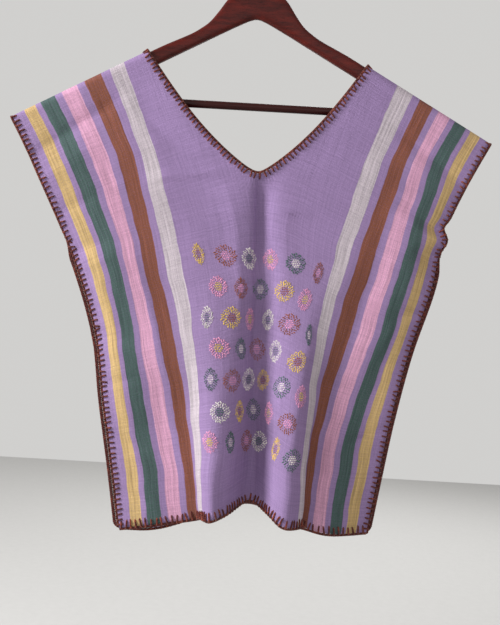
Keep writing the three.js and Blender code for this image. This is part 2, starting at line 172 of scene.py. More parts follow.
# Stripes, as distances from the centre line, the same on both halves
STRIPES = [
    ("white", 92.5, 111.5),
    ("brown", 122.5, 143.0),
    ("pink", 152.5, 171.0),
    ("green", 179.5, 197.5),
    ("yellow", 204.5, 219.0),
]

# Ring colour of each flower, row by row, and how wide each is woven; every ring colour has one centre colour
FLOWER_ROWS = ["YBWPGB", "PBGYP", "WYPWBG", "PGBWY", "GBWYGP", "WYGPB", "PGBWYG"]
FLOWER_WIDTHS = [
    [0.45, 1.05, 0.72, 0.7, 0.95, 0.56],
    [0.8, 0.76, 0.89, 0.93, 0.78],
    [0.55, 0.98, 0.6, 0.6, 1.07, 0.56],
    [0.98, 0.73, 1.03, 0.62, 1.08],
    [0.78, 0.9, 0.95, 0.8, 0.9, 0.85],
    [1.1, 0.6, 1.1, 0.5, 1.1],
    [1.1, 0.5, 0.85, 1.2, 0.4, 1.25],
]
FLOWER_THREADS = {"Y": ("yellow", "brown"), "B": ("brown", "pink"), "W": ("white", "green"),
                  "G": ("green", "white"), "P": ("pink", "yellow")}
FLOWERS = {"top": 236.5, "pitch": 36.7, "spacing": 29.0, "sag": 14.0}
FLOWER_RINGS = [
    {"inner": 10.1, "outer": 13.0, "strokes": 26, "turn": 0.0},
    {"inner": 7.7, "outer": 10.6, "strokes": 20, "turn": 0.5},
    {"inner": 5.6, "outer": 8.0, "strokes": 14, "turn": 0.2},
]
FLOWER_STROKE = {"lean": 0.55, "lobes": 0.05, "shorter": -0.7, "longer": 0.5}
FLOWER_CENTRE = {"radius": 5.3, "row": 2.1, "pitch": 2.4, "float": 2.1}
FLOWER_CHANCE = {"across": 1.2, "down": 1.0, "turn": 0.2, "place": 0.25, "length": (0.8, 1.15),
                 "size": (0.95, 1.06), "tone": (0.72, 1.2)}

# Edgings: how far inside the edge its direction is taken, the spacing of stations, and the braids' sizes
EDGE_STEP = 4
STATION = 0.95
CORD = {"centre": 1.75, "width": 0.95, "depth": 0.55, "strand": 0.92, "pitch": 5.6}
BAND = {"centres": (0.42, 1.45), "width": 0.36, "depth": 1.35, "pitches": (6.2, 6.7)}
BACK_LEG = 0.85

# The hanger, as heights above the neck level
HANGER = {"thickness": 12.0, "seat": 2.0, "end": 228.0, "depth": 17.0, "end_round": 9.0, "arch": 14.0}
HANGER_TOP = {"x": [11, 18, 36, 47, 57, 68, 79, 112, 150], "height": [98, 91, 76, 60, 47, 38, 31, 14.7, -6.3]}
BAR = {"height": -53.0, "radius": 4.8}
HOOK = {"wire": 1.9, "inner": 20.0, "tip_angle": 205.0, "neck_angle": -55.0, "crown": 98.3, "lead": 14.0}

# Lights in metres: name, place, target, size, share of the key light's power. The camera looks along +Y.
LIGHTS = [
    ("key_light", (-2.1, -0.75, 0.35), (0, 0, -0.5), 0.7, 1.0),
    ("front_light", (0.5, -2.6, 0.2), (0, 0, -0.45), 2.0, 0.1),
    ("back_light", (0.6, 2.2, 0.7), (0, 0, -0.45), 1.8, 0.4),
]
CAMERA = {"place": (0.0116, -1.112, -0.4719), "roll": -3.3, "lens": 52.8, "sensor": 36}


def linear(red, green, blue):
    """The linear colour of three 8-bit display values"""
    parts = np.array([red, green, blue]) / 255
    return tuple(np.where(parts <= 0.04045, parts / 12.92, ((parts + 0.055) / 1.055) ** 2.4).round(4))


def lerp(a, b, t):
    return a + (b - a) * t


def smoothstep(low, high, q):
    t = np.clip((q - low) / (high - low), 0, 1)
    return t * t * (3 - 2 * t)


def smooth_curve(xs, ys, q):
    """A smooth curve through points: cubic pieces whose slope at each point is that of the chord between
    its two neighbours. Outside the points it keeps the end values."""
    q = np.asarray(q, float)
    xs = np.broadcast_to(np.asarray(xs, float), q.shape + np.shape(xs)[-1:])
    ys = np.broadcast_to(np.asarray(ys, float), xs.shape)
    last = xs.shape[-1] - 1

    def pick(values, index):
        return np.take_along_axis(values, np.clip(index, 0, last)[..., None], -1)[..., 0]

    def slope(index):
        return (pick(ys, index + 1) - pick(ys, index - 1)) / (pick(xs, index + 1) - pick(xs, index - 1))

    k = np.sum(q[..., None] > xs[..., 1:-1], axis=-1)
    span = pick(xs, k + 1) - pick(xs, k)
    u = np.clip((q - pick(xs, k)) / span, 0, 1)
    ends = lerp(pick(ys, k), pick(ys, k + 1), u * u * (3 - 2 * u))
    return ends + span * u * (1 - u) * ((1 - u) * slope(k) - u * slope(k + 1))


def over_lines(name, line):
    return smooth_curve(WARP["line"], WARP[name], line)


def fold_drop(x):
    return (np.abs(x) - FOLD_LEVEL) * math.tan(SLOPE)


def hem_drop(side, line):
    return smooth_curve(WARP["line"], HEM_DROPS[side], line)


def top_of(line):
    """x and drop of the top of each warp line: on the straight shoulder fold, or inside the neck on a
    hyperbola rounded at the bottom of the V, with a sine added so that its arms bow."""
    line = np.asarray(line, float)
    t = np.clip(np.abs(line) / NECK_HALF, 0, 1)
    neck_x = over_lines("fold", np.sign(line) * NECK_HALF)
    rounded = (np.hypot(t, NECK["round"]) - NECK["round"]) / (math.hypot(1, NECK["round"]) - NECK["round"])
    neck_drop = lerp(NECK["drop"], fold_drop(neck_x), rounded) + NECK["bow"] * np.sin(np.pi * rounded)
    fold_x = over_lines("fold", line)
    on_fold = np.abs(line) >= NECK_HALF
    x = np.where(on_fold, fold_x, lerp(NECK["x"], neck_x, t))
    return x, np.where(on_fold, fold_drop(fold_x), neck_drop)


def line_x(line, drop, hem):
    """Where each warp line lies across at a drop: a smooth curve down through the sections below its top"""
    top_x, top_drop = top_of(line)
    like = np.ones_like(top_drop)
    drops = np.stack([top_drop, *[like * d for d in SECTION_DROPS], hem], -1)
    xs = np.stack([top_x, *[over_lines(name, line) for name in SECTION_NAMES], over_lines("hem", line)], -1)
    whole = smooth_curve(drops, xs, drop)
    short = smooth_curve(np.delete(drops, 1, -1), np.delete(xs, 1, -1), drop)
    blend = smoothstep(TOP_BLEND["start"], TOP_BLEND["end"], top_drop)
    return np.where(top_drop < TOP_BLEND["end"], lerp(whole, short, blend), short)


def half_depth(line, drop, below_fold):
    """Half the distance from front to back: a curve down the side edge, blended inwards along a quarter
    sine to the depth over the chest"""
    underarm = np.where(line < 0, UNDERARM["left"], UNDERARM["right"])
    tip = fold_drop(WARP["fold"][-1])
    drops = np.stack([np.full_like(underarm, tip, float), underarm - ARMHOLE["widest"],
                      underarm - ARMHOLE["closing"], underarm, np.full_like(underarm, LOWEST, float)], -1)
    depths = [DEPTH["tip"], DEPTH["armhole"], DEPTH["closing"], DEPTH["joined"], DEPTH["joined"]]
    edge = smooth_curve(drops, depths, drop)
    inner = lerp(DEPTH["arm"], DEPTH["chest"], smoothstep(CHEST["start"], CHEST["full"], below_fold))
    inward = np.clip((HALF_WIDTH - np.abs(line)) / DEPTH["spread"], 0, 1)
    return lerp(edge, inner, np.sin(inward * np.pi / 2))


def fold_reach(side, line, drop, hem):
    """Sum of the large folds: a bell across the warp lines, growing as a power of the way to the hem"""
    total = 0
    for fold in FOLDS[side]:
        t = np.clip((drop - fold["start"]) / (hem - fold["start"]), 0, 1)
        away = (line - fold["line"]) / lerp(fold["top"], fold["hem"], t)
        total = total + fold["reach"] * t ** fold["growth"] * np.exp(-away * away)
    return total


def crease_height(side, line, drop):
    """Sum of the creases: across each, one over a power of the squared distance, which has a round top and
    long tails; along it, full in the middle and fading over its ends"""
    total = 0
    for start, end, right, left, height in CREASES[side]:
        start, way = np.array(start, float), np.subtract(end, start, dtype=float)
        length = np.hypot(*way)
        along = ((line - start[0]) * way[0] + (drop - start[1]) * way[1]) / length
        across = ((drop - start[1]) * way[0] - (line - start[0]) * way[1]) / length
        fade = smoothstep(*CREASE_FADE, along / length) * smoothstep(*CREASE_FADE, 1 - along / length)
        width = np.where(across > 0, right, left)
        total = total + height * fade / (1 + (across / width) ** 2) ** 1.5
    return total


def ripple(side, line, drop):
    """Slow unevenness of handwoven cloth: a few sine waves of unlike lengths and directions, faded out
    towards the fold and the side edges"""
    total = sum(np.sin(a * line + b * drop + phase + side) for a, b, phase in RIPPLES)
    inward = smoothstep(0, 50, HALF_WIDTH - np.abs(line)) * smoothstep(40, 120, drop - top_of(line)[1] + 30)
    return RIPPLE_HEIGHT * total * inward


def sway(line, drop):
    """How far the warp lines wander sideways between their sections: sine waves down the cloth, whose
    phase shifts slowly across it, faded out towards the edges"""
    total = sum(size * np.sin(a * drop + b * line + phase) for a, b, phase, size in SWAYS)
    return total * smoothstep(0, 30, HALF_WIDTH - np.abs(line)) * smoothstep(20, 90, drop - top_of(line)[1])


def cloth_points(side, line, drop):
    """Points of the cloth's middle surface, in millimetres; side is -1 in front and 1 behind. The cloth
    goes round the shoulder fold on a quarter ellipse, hangs at its half depth, and takes folds and creases
    along Y."""
    line, drop = np.broadcast_arrays(np.asarray(line, float), np.asarray(drop, float))
    top_drop = top_of(line)[1]
    hem = hem_drop(side, line)
    own = line_x(line, drop, hem)
    edges = [line_x(np.full_like(line, edge), drop, hem) for edge in (-HALF_WIDTH, HALF_WIDTH)]
    even = lerp(edges[0], edges[1], (line + HALF_WIDTH) / (2 * HALF_WIDTH))
    spread = smoothstep(BACK_SPREAD["start"], BACK_SPREAD["full"], drop)
    share = 0 if side < 0 else BACK_SPREAD["evenness"] * spread
    inward = (HALF_WIDTH - np.abs(line)) / BUMP_WIDTH
    bump = sum(b["reach"] * np.exp(-((drop - b["drop"]) / b["length"]) ** 2 - inward ** 2) for b in BUMPS)
    x = lerp(own, even, share) + np.where(line > 0, bump, 0) + sway(line, drop)
    below_fold = np.maximum(0, drop - fold_drop(x)) * math.cos(SLOPE)
    depth = half_depth(line, drop, below_fold)
    radius = half_depth(line, top_drop, np.zeros_like(drop))
    turn = 1 - np.minimum(below_fold / radius, 1)
    on_fold = (np.abs(line) >= NECK_HALF) & (drop <= top_drop + 1e-9)
    wrapped = np.where(on_fold, 0, depth * np.sqrt(np.maximum(0, 1 - turn * turn)))
    settled = smoothstep(6, 40, below_fold)
    raised = (crease_height(side, line, drop) + ripple(side, line, drop)) * settled
    y = side * (wrapped + raised) + fold_reach(side, line, drop, hem)
    return np.stack([x, y, NECK_LEVEL - drop], -1)


def unit(vectors):
    return vectors / np.maximum(np.linalg.norm(vectors, axis=-1, keepdims=True), 1e-12)


def cloth_normals(side, line, drop, step=0.8):
    """Outward normals of the cloth: the cross product of its slopes across and down"""
    line, drop = np.broadcast_arrays(np.asarray(line, float), np.asarray(drop, float))
    left, right = np.maximum(line - step, -HALF_WIDTH), np.minimum(line + step, HALF_WIDTH)
    low, high = np.maximum(drop - step, top_of(line)[1]), np.minimum(drop + step, hem_drop(side, line))
    across = cloth_points(side, right, np.maximum(drop, top_of(right)[1])) \
        - cloth_points(side, left, np.maximum(drop, top_of(left)[1]))
    down = cloth_points(side, line, high) - cloth_points(side, line, low)
    return unit(side * np.cross(across, down))


def add_piece(name, points, faces, material, uv=None, colours=None):
    """Makes a smooth mesh object of points in millimetres, with a value per point for its UV and colour"""
    mesh = bpy.data.meshes.new(name)
    mesh.from_pydata((np.asarray(points).reshape(-1, 3) * MM).tolist(), [], faces)
    mesh.polygons.foreach_set("use_smooth", np.ones(len(mesh.polygons), bool))
    if uv is not None:
        corners = np.zeros(len(mesh.loops), np.int32)
        mesh.loops.foreach_get("vertex_index", corners)
        layer = mesh.uv_layers.new(name="Flat")
        layer.data.foreach_set("uv", np.asarray(uv, np.float32).reshape(-1, 2)[corners].ravel())
    if colours is not None:
        layer = mesh.color_attributes.new(name="Thread", type="FLOAT_COLOR", domain="POINT")
        layer.data.foreach_set("color", np.asarray(colours, np.float32).ravel())
    mesh.materials.append(material)
    mesh.update()
    piece = bpy.data.objects.new(name, mesh)
    bpy.context.scene.collection.objects.link(piece)
    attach(piece, "root")
    return piece


def grid_faces(index):
    """Quads between neighbouring numbers of a grid of point numbers, row by row"""
    corners = [index[..., :-1, :-1], index[..., :-1, 1:], index[..., 1:, 1:], index[..., 1:, :-1]]
    return np.stack(corners, -1).reshape(-1, 4)


def tubes(paths, upward, radius, sides=6, closed=False):
    """Round tubes along paths of shape (tubes, steps, 3): each step has a ring of points at the radius,
    turned from the upward vector to its cross product with the path's direction. Returns points, faces
    and a UV of turn and length."""
    ahead, behind = np.roll(paths, -1, 1), np.roll(paths, 1, 1)
    if not closed:
        ahead[:, -1], behind[:, 0] = paths[:, -1], paths[:, 0]
    along = unit(ahead - behind)
    up = unit(upward - along * np.sum(upward * along, -1, keepdims=True))
    beside = np.cross(along, up)
    angle = 2 * np.pi * np.arange(sides) / sides
    ring = np.cos(angle)[:, None] * up[:, :, None] + np.sin(angle)[:, None] * beside[:, :, None]
    radii = np.broadcast_to(np.asarray(radius, float), paths.shape[:2])
    points = paths[:, :, None] + radii[:, :, None, None] * ring
    count, steps = paths.shape[:2]
    index = np.arange(count * steps * sides).reshape(count, steps, sides)
    wrapped = np.concatenate([index, index[..., :1]], -1)
    if closed:
        wrapped = np.concatenate([wrapped, wrapped[:, :1]], 1)
    faces = grid_faces(wrapped).tolist()
    if not closed:
        faces += index[:, -1].tolist() + index[:, 0, ::-1].tolist()
    steps_along = np.linalg.norm(np.diff(paths, axis=1), axis=-1)
    length = np.concatenate([np.zeros((count, 1)), np.cumsum(steps_along, 1)], 1)
    turn = np.broadcast_to(np.arange(sides) / sides, points.shape[:3])
    return points.reshape(-1, 3), faces, np.stack([turn, length[..., None] + 0 * turn], -1).reshape(-1, 2)


def joined(parts):
    """One set of points, faces and UVs from several"""
    points, faces, uvs, start = [], [], [], 0
    for part_points, part_faces, part_uv in parts:
        points.append(part_points)
        uvs.append(part_uv)
        faces += [[start + k for k in face] for face in part_faces]
        start += len(part_points)
    return np.concatenate(points), faces, np.concatenate(uvs)


class Value:
    """A socket of a node tree, worked with as a number"""

    def __init__(self, tree, socket):
        self.tree = tree
        self.socket = socket

    def math(self, operation, *others, clamp=False):
        node = self.tree.nodes.new("ShaderNodeMath")
        node.operation = operation
        node.use_clamp = clamp
        for entry, value in zip(node.inputs, others):
            plug(self.tree, entry, value)
        return Value(self.tree, node.outputs[0])

    def __add__(self, other):
        return self.math("ADD", self, other)

    __radd__ = __add__

    def __sub__(self, other):
        return self.math("SUBTRACT", self, other)

    def __rsub__(self, other):
        return self.math("SUBTRACT", other, self)

    def __mul__(self, other):
        return self.math("MULTIPLY", self, other)

    __rmul__ = __mul__

    def __abs__(self):
        return self.math("ABSOLUTE", self)

    def sine(self):
        return self.math("SINE", self)

    def above(self, edge, width):
        """0 below the edge and 1 above it, over a short width"""
        return self.math("MULTIPLY_ADD", self, 1 / width, 0.5 - edge / width, clamp=True)


def plug(tree, entry, value):
    if isinstance(value, Value):
        tree.links.new(value.socket, entry)
    elif entry.type == "RGBA":
        entry.default_value = (*value[:3], 1)
    else:
        entry.default_value = value


class Finish:
    """A material whose colour, roughness and bump are worked out from its nodes"""

    def __init__(self, name, **uniform):
        self.material = bpy.data.materials.new(name)
        self.material.use_nodes = True
        self.tree = self.material.node_tree
        self.shader = self.tree.nodes["Principled BSDF"]
        for key, value in uniform.items():
            plug(self.tree, self.shader.inputs[key.replace("_", " ")], value)

    def node(self, kind, settings, sockets, output=0):
        node = self.tree.nodes.new(kind)
        for key, value in settings.items():
            setattr(node, key, value)
        for key, value in sockets.items():
            plug(self.tree, node.inputs[key], value)
        return Value(self.tree, node.outputs[output])

    def place(self):
        return self.node("ShaderNodeTexCoord", {}, {}, "Object")

    def flat(self):
        """The two coordinates of the piece's own flat map"""
        uv = self.node("ShaderNodeUVMap", {"uv_map": "Flat"}, {})
        split = self.node("ShaderNodeSeparateXYZ", {}, {0: uv})
        return split, Value(self.tree, split.socket.node.outputs[1])

    def vector(self, x, y, z=0.0):
        return self.node("ShaderNodeCombineXYZ", {}, {0: x, 1: y, 2: z})

    def noise(self, vector, scale, detail=2.0, roughness=0.5):
        sockets = {"Vector": vector, "Scale": scale, "Detail": detail, "Roughness": roughness}
        return self.node("ShaderNodeTexNoise", {}, sockets)

    def mix(self, factor, first, second, blend="MIX"):
        settings = {"data_type": "RGBA", "blend_type": blend}
        return self.node("ShaderNodeMix", settings, {0: factor, 6: first, 7: second}, 2)

    def tint(self, colour, factor):
        """A colour made lighter or darker by a factor"""
        return self.mix(1.0, colour, self.vector(factor, factor, factor), "MULTIPLY")

    def finish(self, colour, roughness, height, strength, distance):
        bump = self.node("ShaderNodeBump", {}, {"Strength": strength, "Distance": distance, "Height": height})
        for key, value in {"Base Color": colour, "Roughness": roughness, "Normal": bump}.items():
            plug(self.tree, self.shader.inputs[key], value)
        return self.material


def cloth_material(values):
    """Plain weave in the cloth's flat map, whose unit is 100 mm: warp stripes by distance from the centre,
    weft slubs as noise drawn out across, warp streaks as noise drawn out down, and a bump of both threads."""
    make = Finish("handwoven_cloth", Sheen_Weight=0.12, Sheen_Roughness=0.5, Specular_IOR_Level=0.2)
    make.shader.inputs["Sheen Tint"].default_value = (*values.lilac, 1)
    across, down = make.flat()
    wander = make.noise(make.vector(across * 9, down * 7), 1.0, 3.0)
    edge = abs(across + (wander - 0.5) * 0.02)
    warp_streak = make.noise(make.vector(across * 46, down * 1.1), 1.0, 2.0)
    warp_fine = make.noise(make.vector(across * 96, down * 2.5), 1.0, 1.0)
    weft_streak = make.noise(make.vector(across * 1.6, down * 56), 1.0, 3.0)
    slub = make.noise(make.vector(across * 4, down * 60), 1.0, 1.0).above(0.66, 0.1)
    cloud = make.noise(make.place(), 13.0, 3.0)
    speck = make.noise(make.vector(across * 70, down * 74), 1.0, 2.0)
    colour = values.lilac
    stripe = None
    for name, low, high in STRIPES:
        inside = edge.above(low / 100, 0.007) * (1 - edge.above(high / 100, 0.007))
        colour = make.mix(inside, colour, tuple(getattr(values, name)))
        stripe = inside if stripe is None else stripe + inside
    crossed = make.mix((1 - speck.above(0.46, 0.16)) * 0.16 * stripe, colour, tuple(values.lilac))
    streaks = (warp_streak - 0.5) * 0.75 + (warp_fine - 0.5) * 0.45
    tone = 1.0 + streaks * (0.45 + 0.9 * stripe) + (weft_streak - 0.5) * 0.42 + slub * 0.06
    tone = tone + (cloud - 0.5) * 0.3 + (speck - 0.5) * 0.4
    warp_thread = (across * (2 * math.pi / 0.0105)).sine()
    weft_thread = (down * (2 * math.pi / 0.0125)).sine()
    height = warp_thread * 0.3 + weft_thread * 0.3 + weft_streak * 1.3 + warp_streak + speck * 1.2 + slub * 0.5
    return make.finish(make.tint(crossed, tone), 0.82 + weft_streak * 0.12, height, 0.6, 0.0007)


def yarn_material(name, main, fleck, share):
    """Crochet yarn: a main colour with flecks where noise is high, and painted shade in the grooves between the
    plies, which run round the strand as a sine of turn and length"""
    make = Finish(name, Sheen_Weight=0.2, Specular_IOR_Level=0.2)
    turn, length = make.flat()
    ply_shade_and_relief = (turn * (4 * math.pi) + length * (2 * math.pi / 2.2)).sine()
    patch = make.noise(make.place(), 210.0, 2.0).above(1 - share, 0.16)
    fuzz = make.noise(make.place(), 2600.0, 1.0)
    # Painted shade: the ply sine darkens the colour in the grooves between the plies, and it is also the bump's
    # height
    colour = make.tint(make.mix(patch, main, fleck), 0.75 + ply_shade_and_relief * 0.16 + fuzz * 0.45)
    return make.finish(colour, 0.85 + fuzz * 0.1, ply_shade_and_relief + fuzz, 0.7, 0.0004)


def thread_material():
    """Brocading thread: each flower's colours from the piece's own attribute, with fine noise over it"""
    make = Finish("brocading_thread", Sheen_Weight=0.25, Specular_IOR_Level=0.3)
    colour = make.node("ShaderNodeAttribute", {"attribute_name": "Thread"}, {})
    fuzz = make.noise(make.place(), 1500.0, 1.0)
    return make.finish(make.tint(colour, 0.85 + fuzz * 0.3), 0.7 + fuzz * 0.15, fuzz, 0.5, 0.0003)


def wood_material(name, dark, light, along):
    """Lacquered wood: grain as noise drawn out along the piece, with darker pores, under a clear coat"""
    make = Finish(name, Coat_Weight=0.05, Coat_Roughness=0.15, Specular_IOR_Level=0.18)
    split = make.node("ShaderNodeSeparateXYZ", {}, {0: make.place()})
    x, y, z = [Value(make.tree, split.socket.node.outputs[k]) for k in range(3)]
    stretch = make.vector(x * along[0], y * along[1], z * along[2])
    grain = make.noise(stretch, 1.0, 4.0, 0.6)
    pores = make.noise(stretch, 5.0, 2.0).above(0.62, 0.1)
    rubbed = make.noise(make.place(), 30.0, 2.0)
    colour = make.tint(make.mix(grain.above(0.5, 0.5), dark, light), 1.0 - pores * 0.35 + (rubbed - 0.5) * 0.3)
    return make.finish(colour, 0.24 + rubbed * 0.2 + pores * 0.1, grain - pores * 0.6, 0.18, 0.0004)


def steel_material():
    """Bright wire, drawn lengthwise: faint streaks in its roughness and bump"""
    make = Finish("polished_wire", Metallic=1.0)
    streak = make.noise(make.place(), 260.0, 3.0)
    return make.finish(make.tint((0.62, 0.61, 0.6), 0.85 + streak * 0.3), 0.16 + streak * 0.2, streak, 0.1, 0.0002)


def colour_property(name, about, *display):
    return FloatVectorProperty(name=name, description=about, subtype="COLOR", size=3, min=0, max=1,
                               default=linear(*display))


def length_property(name, about, millimetres):
    return FloatProperty(name=name, description=about, default=millimetres * MM, min=0, unit="LENGTH")


class BlouseClothValues(bpy.types.PropertyGroup):
    wall: length_property("Wall", "Thickness of the cloth", 1.4)
    lilac: colour_property("Lilac", "Ground colour", 143, 119, 160)
    white: colour_property("White", "Innermost stripe", 184, 173, 179)
    brown: colour_property("Brown", "Second stripe", 122, 72, 50)
    pink: colour_property("Pink", "Third stripe", 198, 148, 174)
    green: colour_property("Green", "Fourth stripe", 64, 87, 81)
    yellow: colour_property("Yellow", "Outermost stripe", 184, 155, 103)


class BlouseYarnValues(bpy.types.PropertyGroup):
    strand: length_property("Strand", "Radius of one strand of the edging", 0.85)
    stitch: length_property("Stitch", "Radius of a blanket stitch's thread", 1.12)
    neck_pitch: length_property("Neck pitch", "Distance between stitches at the neck", 5.4)
    side_pitch: length_property("Side pitch", "Distance between stitches at the sides", 6.3)
    neck_leg: length_property("Neck leg", "Length of a stitch at the neck and armholes", 6.2)
    hem_leg: length_property("Hem leg", "Length of a stitch at the hem", 9.0)
    wine: colour_property("Wine", "Main colour of the yarn", 92, 30, 22)
    rust: colour_property("Rust", "Flecks in the yarn", 142, 62, 40)


class BlouseFlowerValues(bpy.types.PropertyGroup):
    stroke: length_property("Stroke", "Width of one brocaded float", 1.35)
    lift: length_property("Lift", "Height of a float above the cloth", 0.8)
    white: colour_property("White thread", "Thread of the white rings and centres", 208, 202, 196)
    brown: colour_property("Brown thread", "Thread of the brown rings and centres", 132, 68, 46)
    pink: colour_property("Pink thread", "Thread of the pink rings and centres", 210, 138, 172)
    green: colour_property("Green thread", "Thread of the green rings and centres", 54, 86, 78)
    yellow: colour_property("Yellow thread", "Thread of the yellow rings and centres", 205, 170, 76)


class BlouseHangerValues(bpy.types.PropertyGroup):
    dark: colour_property("Dark wood", "Darker grain", 46, 8, 6)
    light: colour_property("Light wood", "Lighter grain", 90, 22, 14)


class BlouseStageValues(bpy.types.PropertyGroup):
    ground: length_property("Floor", "How far the floor lies below the origin", 1180)
    key: FloatProperty(name="Key light", description="Power of the main light", default=82, unit="POWER")
    fill: FloatProperty(name="Fill light", description="Strength of the surrounding light", default=0.8)
    pale: colour_property("Pale", "Colour of the surroundings and floor", 230, 229, 227)


def neck_lines(count=29):
    """Warp lines over half the neck, closer together at the bottom of the V and at the neck point"""
    return NECK_HALF * (1 - np.cos(np.linspace(0, np.pi, count))) / 2


def cloth_columns():
    half = np.concatenate([neck_lines(), np.linspace(NECK_HALF, HALF_WIDTH, 49)[1:]])
    return np.concatenate([-half[:0:-1], half])


def cloth_rows(side, lines, hang):
    """Drops down each warp line: even angles round the shoulder fold, then even steps to the hem"""
    top = top_of(lines)[1]
    wrap = DEPTH["arm"] * math.cos(SLOPE) * (1 - np.cos(np.linspace(0, np.pi / 2, 9)))
    wrapped = top + wrap[:, None]
    steps = np.linspace(0, 1, hang + 1)[1:, None]
    return np.concatenate([wrapped, lerp(wrapped[-1], hem_drop(side, lines), steps)])


class BLOUSE_OT_cloth(bpy.types.Operator):
    """Weaves the body: one length of cloth folded over the shoulders, with its neck cut out"""

    bl_idname = "blouse.cloth"
    bl_label = "Cloth"

    def execute(self, context):
        values = context.scene.blouse_cloth
        lines = cloth_columns()
        grids, uvs = [], []
        for side, hang in ((-1, 138), (1, 84)):
            drops = cloth_rows(side, lines, hang)
            grid = cloth_points(side, lines[None, :], drops)
            steps = np.linalg.norm(np.diff(grid, axis=0), axis=-1)
            from_hem = np.concatenate([np.cumsum(steps[::-1], 0)[::-1], np.zeros((1, len(lines)))])
            scale = LENGTH / from_hem[0]
            neck = np.abs(lines) < NECK_HALF
            scale[neck] = np.where(lines[neck] < 0, scale[~neck & (lines < 0)][-1], scale[~neck & (lines > 0)][0])
            down = -side * (LENGTH - from_hem * scale)
            grids.append(grid)
            uvs.append(np.stack([np.broadcast_to(lines, down.shape), down], -1) / 100)
        front, back = [np.arange(g.shape[0] * g.shape[1]).reshape(g.shape[:2]) for g in grids]
        back = back + front.size
        folded = np.abs(lines) >= NECK_HALF
        back[0, folded] = front[0, folded]
        faces = np.concatenate([grid_faces(front)[:, ::-1], grid_faces(back)])
        used, faces = np.unique(faces, return_inverse=True)
        points = np.concatenate([g.reshape(-1, 3) for g in grids])[used]
        uv = np.concatenate([u.reshape(-1, 2) for u in uvs])[used]
        faces = faces.reshape(-1, 4).tolist()
        cloth = add_piece("blouse_cloth", points, faces, cloth_material(values), uv)
        wall = cloth.modifiers.new("Wall", "SOLIDIFY")
        wall.thickness = values.wall
        wall.offset = 0
        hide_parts("front_cloth", "back_cloth")
        return {"FINISHED"}


def flower_strokes():
    """Strokes of one flower in the flat cloth: its place, its direction, its length and whether it lies in
    the ring. Three staggered rings of strokes lean to either side of outwards by turns, and short floats
    fill the centre in a brick pattern."""
    strokes = []
    for ring in FLOWER_RINGS:
        count, inner = ring["strokes"], ring["inner"]
        odd = np.arange(count) % 2
        angle = 2 * np.pi * (np.arange(count) + ring["turn"]) / count
        reach = ring["outer"] * (1 + FLOWER_STROKE["lobes"] * np.cos(4 * angle))
        reach = reach + np.where(odd, FLOWER_STROKE["shorter"], FLOWER_STROKE["longer"])
        middle = (inner + reach) / 2
        lean = angle + np.where(odd, 1, -1) * FLOWER_STROKE["lean"]
        strokes += zip(middle * np.cos(angle), middle * np.sin(angle), lean, reach - inner, [True] * count)
    for row in range(-2, 3):
        offsets = (np.arange(-2, 3) + 0.5 * (row % 2)) * FLOWER_CENTRE["pitch"]
        y = row * FLOWER_CENTRE["row"]
        for x in offsets[np.hypot(offsets, y) < FLOWER_CENTRE["radius"]]:
            strokes.append((x, y, 0.0, FLOWER_CENTRE["float"], False))
    return np.array(strokes, float)


class BLOUSE_OT_flowers(bpy.types.Operator):
    """Lays the brocaded flowers on the front as raised floats of thread"""

    bl_idname = "blouse.flowers"
    bl_label = "Flowers"

    def execute(self, context):
        values = context.scene.blouse_flowers
        cloth = context.scene.blouse_cloth
        chance, scatter = np.random.default_rng(11), FLOWER_CHANCE
        strokes = flower_strokes()
        centres, rings, hearts, widths = [], [], [], []
        for row, letters in enumerate(FLOWER_ROWS):
            lines = (np.arange(len(letters)) - (len(letters) - 1) / 2) * FLOWERS["spacing"]
            drops = FLOWERS["top"] + row * FLOWERS["pitch"] + FLOWERS["sag"] * smoothstep(26, 74, lines)
            across = chance.uniform(-scatter["across"], scatter["across"], len(lines))
            down = chance.uniform(-scatter["down"], scatter["down"], len(lines))
            centres += zip(lines + across, drops + down)
            rings += [tuple(getattr(values, FLOWER_THREADS[letter][0])) for letter in letters]
            hearts += [tuple(getattr(values, FLOWER_THREADS[letter][1])) for letter in letters]
            widths += FLOWER_WIDTHS[row]
        centres = np.array(centres)[:, None, :]
        x, y, angle, length, in_ring = [strokes[None, :, k] for k in range(5)]
        shape = (len(centres), strokes.shape[0])
        wide = np.array(widths)[:, None]
        angle = np.arctan2(np.sin(angle), wide * np.cos(angle)) + chance.normal(0, scatter["turn"], shape)
        length = length * chance.uniform(*scatter["length"], shape) * lerp(wide, 1, np.abs(np.sin(angle)))
        x = x * wide + chance.normal(0, scatter["place"], shape)
        size = chance.uniform(*scatter["size"], (len(centres), 1))
        along, across = np.meshgrid(np.linspace(-1, 1, 5), np.linspace(-1, 1, 4), indexing="ij")
        ahead = along * length[..., None, None] / 2
        aside = across * values.stroke / MM / 2 * (1 - 0.35 * along ** 2) * np.sqrt(wide)[..., None, None]
        turn = angle[..., None, None]
        line = centres[:, :, :1, None] + (size * x)[..., None, None] + ahead * np.cos(turn) - aside * np.sin(turn)
        drop = centres[:, :, 1:, None] + (size * y)[..., None, None] + ahead * np.sin(turn) + aside * np.cos(turn)
        lift = cloth.wall / MM / 2 + values.lift / MM * (1 - along ** 4) * (1 - 0.75 * across ** 2) - 0.12
        points = cloth_points(-1, line, drop) + lift[..., None] * cloth_normals(-1, line, drop)
        index = np.arange(points[..., 0].size).reshape(points.shape[:-1])
        faces = grid_faces(index)[:, ::-1]
        colour = np.where(in_ring[..., None] > 0, np.array(rings)[:, None], np.array(hearts)[:, None])
        colour = colour * chance.uniform(*scatter["tone"], (*shape, 1))
        colours = np.ones((*points.shape[:-1], 4))
        colours[..., :3] = colour[:, :, None, None]
        add_piece("brocaded_flowers", points, faces.tolist(), thread_material(), colours=colours)
        return {"FINISHED"}


